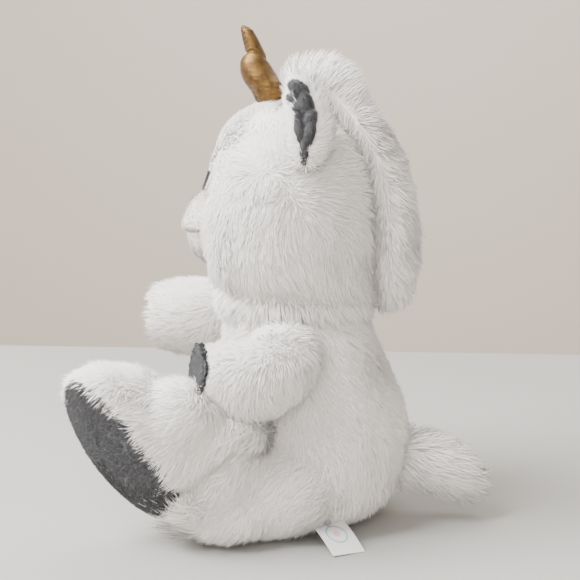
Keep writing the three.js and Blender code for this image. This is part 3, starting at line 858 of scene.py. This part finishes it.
def build_horn_seam():
    """The knots of the seam that runs down the front of the horn's tip."""
    knots = []
    for k, z in enumerate(np.linspace(288.5, 301, 11)):
        middle, radius = horn_section(z)
        angle = math.radians(48 + 14 * (-1) ** k)
        centre = (radius * math.sin(angle), middle - radius * math.cos(angle), z)
        knots.append(ball_mesh("knot", centre, (0.55, 0.55, 0.5)))
    seam = link("horn_seam", mesh_of("horn_seam", knots))
    gold = mottled_material("gold_knots", (0.05, 0.025, 0.01), (0.12, 0.06, 0.02), 900,
                            roughness=0.5)
    place(seam, "horn", gold)


# ---------------------------------------------------------------- face stitches and label


def build_stitches():
    """The closed eyes stay as CAD stitches, and only take the thread's look."""
    for side in ("left", "right"):
        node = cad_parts[f"{side}_eye_stitch"]
        node.data.materials.clear()
        node.data.materials.append(THREAD)


def label_material():
    """Satin ribbon with a pale blue ring and a pink dot printed on it, and no words."""
    material, tree, shader = new_material("label_ribbon")
    coordinates = tree.nodes.new("ShaderNodeTexCoord")
    centre = tree.nodes.new("ShaderNodeVectorMath")
    centre.operation = "SUBTRACT"
    centre.inputs[1].default_value = (0.45, 0.5, 0)
    squeeze = tree.nodes.new("ShaderNodeVectorMath")
    squeeze.operation = "MULTIPLY"
    squeeze.inputs[1].default_value = (1.5, 1.25, 0)
    length = tree.nodes.new("ShaderNodeVectorMath")
    length.operation = "LENGTH"
    ramp = tree.nodes.new("ShaderNodeValToRGB")
    ramp.color_ramp.interpolation = "CONSTANT"
    ribbon, pink, blue = (0.80, 0.78, 0.76, 1), (0.76, 0.50, 0.52, 1), (0.30, 0.43, 0.53, 1)
    stops = [(0.0, pink), (0.12, ribbon), (0.33, blue), (0.38, ribbon)]
    for k, (position, colour) in enumerate(stops):
        element = ramp.color_ramp.elements[k] if k < 2 else ramp.color_ramp.elements.new(position)
        element.position = position
        element.color = colour
    tree.links.new(coordinates.outputs["UV"], centre.inputs[0])
    tree.links.new(centre.outputs["Vector"], squeeze.inputs[0])
    tree.links.new(squeeze.outputs["Vector"], length.inputs[0])
    tree.links.new(length.outputs["Value"], ramp.inputs["Fac"])
    tree.links.new(ramp.outputs["Color"], shader.inputs["Base Color"])
    shader.inputs["Roughness"].default_value = 0.55
    return material


LABEL_WIDTH = 0.021
LABEL_LENGTH = 0.030
LABEL_THICKNESS = 0.00036


def build_label():
    """The sewn-in label: a thin ribbon that leaves the seam and curls onto the table."""
    points = node_points("sewn_in_label")
    low = points[points[:, 2] < points[:, 2].mean()].mean(0)
    high = points[points[:, 2] > points[:, 2].mean()].mean(0)
    along = unit(low - high)
    edge = unit(np.cross(along, UP))
    normal = np.cross(edge, along)
    normal *= np.sign(normal[2])
    rows, columns = 16, 12
    arch, twist = 0.9 * MM, 1.0 * MM
    half = LABEL_THICKNESS / 2
    top, bottom = [], []
    for i in range(rows + 1):
        t = i / rows
        for j in range(columns + 1):
            s = j / columns - 0.5
            lift = arch * math.sin(math.pi * t) + twist * t * s
            point = high + along * LABEL_LENGTH * t + edge * LABEL_WIDTH * s + normal * lift
            top.append(point + normal * half)
            bottom.append(point - normal * half)
    wide = columns + 1
    offset = len(top)
    faces = []
    for i in range(rows):
        for j in range(columns):
            a, b = i * wide + j, i * wide + j + 1
            c, d = b + wide, a + wide
            faces.append((a, b, c, d))
            faces.append((offset + d, offset + c, offset + b, offset + a))
    rim = list(range(wide))
    rim += [i * wide + columns for i in range(1, rows + 1)]
    rim += [rows * wide + j for j in range(columns - 1, -1, -1)]
    rim += [i * wide for i in range(rows - 1, 0, -1)]
    for a, b in zip(rim, rim[1:] + rim[:1]):
        faces.append((b, a, offset + a, offset + b))
    mesh = bpy.data.meshes.new("label_ribbon")
    mesh.from_pydata([tuple(p) for p in top + bottom], [], faces)
    uv = mesh.uv_layers.new(name="UVMap")
    for loop in mesh.loops:
        k = loop.vertex_index % offset
        uv.data[loop.index].uv = (k // wide / rows, k % wide / columns)
    label = link("label_ribbon", mesh)
    place(label, "label", label_material(), ["sewn_in_label"])


# ---------------------------------------------------------------- stage


FLOOR_DROP = 0.0004
TABLE_EDGE_X = -0.545                    # the edge of the table behind the toy
WALL_X = -2.6
STAGE_REACH = 6.0                        # how far the table and the wall go to each side
TABLE_NEAR_X = 3.0
WALL_TOP = 5.0

# Each light's name, place, target, size in metres and power in watts.
LIGHTS = [
    ("key", (0.5, -1.0, 1.35), (0, 0, 0.14), 1.2, 105),
    ("front", (1.6, 0.1, 0.7), (0, 0, 0.14), 1.6, 24),
    ("wall_wash", (-1.2, 0.0, 2.6), (WALL_X, 0, 0.4), 2.0, 60),
]

CAMERA_PLACE = (0.731, 0.05395, 0.2455)
CAMERA_TARGET = (0, -0.010, 0.1424)
CAMERA_LENS = 74.4

SQUARE = [(0, 0), (1, 0), (1, 1), (0, 1)]     # the order of a plane's corners


def plane(name, corners, material):
    """A flat four-sided backdrop piece."""
    mesh = bpy.data.meshes.new(name)
    mesh.from_pydata(corners, [], [(0, 1, 2, 3)])
    obj = link(name, mesh)
    obj.data.materials.append(material)


def build_stage():
    """A pale table top that ends behind the toy, and a plain wall a good way behind it."""
    sides, depths = (-STAGE_REACH, STAGE_REACH), (TABLE_EDGE_X, TABLE_NEAR_X)
    paint = mottled_material("table_paint", (0.395, 0.39, 0.372), (0.42, 0.415, 0.395), 3,
                             roughness=0.7, bump=0.0, sheen=0.0)
    plaster = mottled_material("wall_paint", (0.76, 0.665, 0.565), (0.78, 0.685, 0.585), 1,
                               bump=0.0, sheen=0.0)
    table = [(depths[i], sides[j], -FLOOR_DROP) for i, j in SQUARE]
    wall = [(WALL_X, sides[i], (-WALL_TOP, WALL_TOP)[j]) for i, j in SQUARE]
    plane("table_top", table, paint)
    plane("wall", wall, plaster)


def add_room_light():
    """An even, slightly warm light from all round."""
    world = bpy.data.worlds.new("room_light")
    bpy.context.scene.world = world
    world.use_nodes = True
    background = world.node_tree.nodes["Background"]
    background.inputs["Color"].default_value = (1.0, 0.91, 0.82, 1)
    background.inputs["Strength"].default_value = 0.64


def aim(obj, position, target):
    """Links a light or camera at a position, pointed at a target."""
    obj.location = position
    obj.rotation_mode = "QUATERNION"
    way = Vector(target) - obj.location
    obj.rotation_quaternion = way.to_track_quat("-Z", "Y")
    bpy.context.scene.collection.objects.link(obj)


def add_lights():
    for name, position, target, size, power in LIGHTS:
        data = bpy.data.lights.new(name, "AREA")
        data.size = size
        data.energy = power
        aim(bpy.data.objects.new(name, data), position, target)


def add_camera():
    """A camera at the angle that the photo was taken from."""
    data = bpy.data.cameras.new("photo_camera")
    data.sensor_width = 36
    data.lens = CAMERA_LENS
    camera = bpy.data.objects.new("photo_camera", data)
    aim(camera, CAMERA_PLACE, CAMERA_TARGET)
    bpy.context.scene.camera = camera


build_torso()
build_neck()
build_head()
build_muzzle()
build_limbs()
build_mane()
build_tail()
build_ear("left", 1)
build_ear("right", -1)
build_horn()
build_horn_seam()
build_stitches()
build_label()
build_stage()
add_room_light()
add_lights()
add_camera()
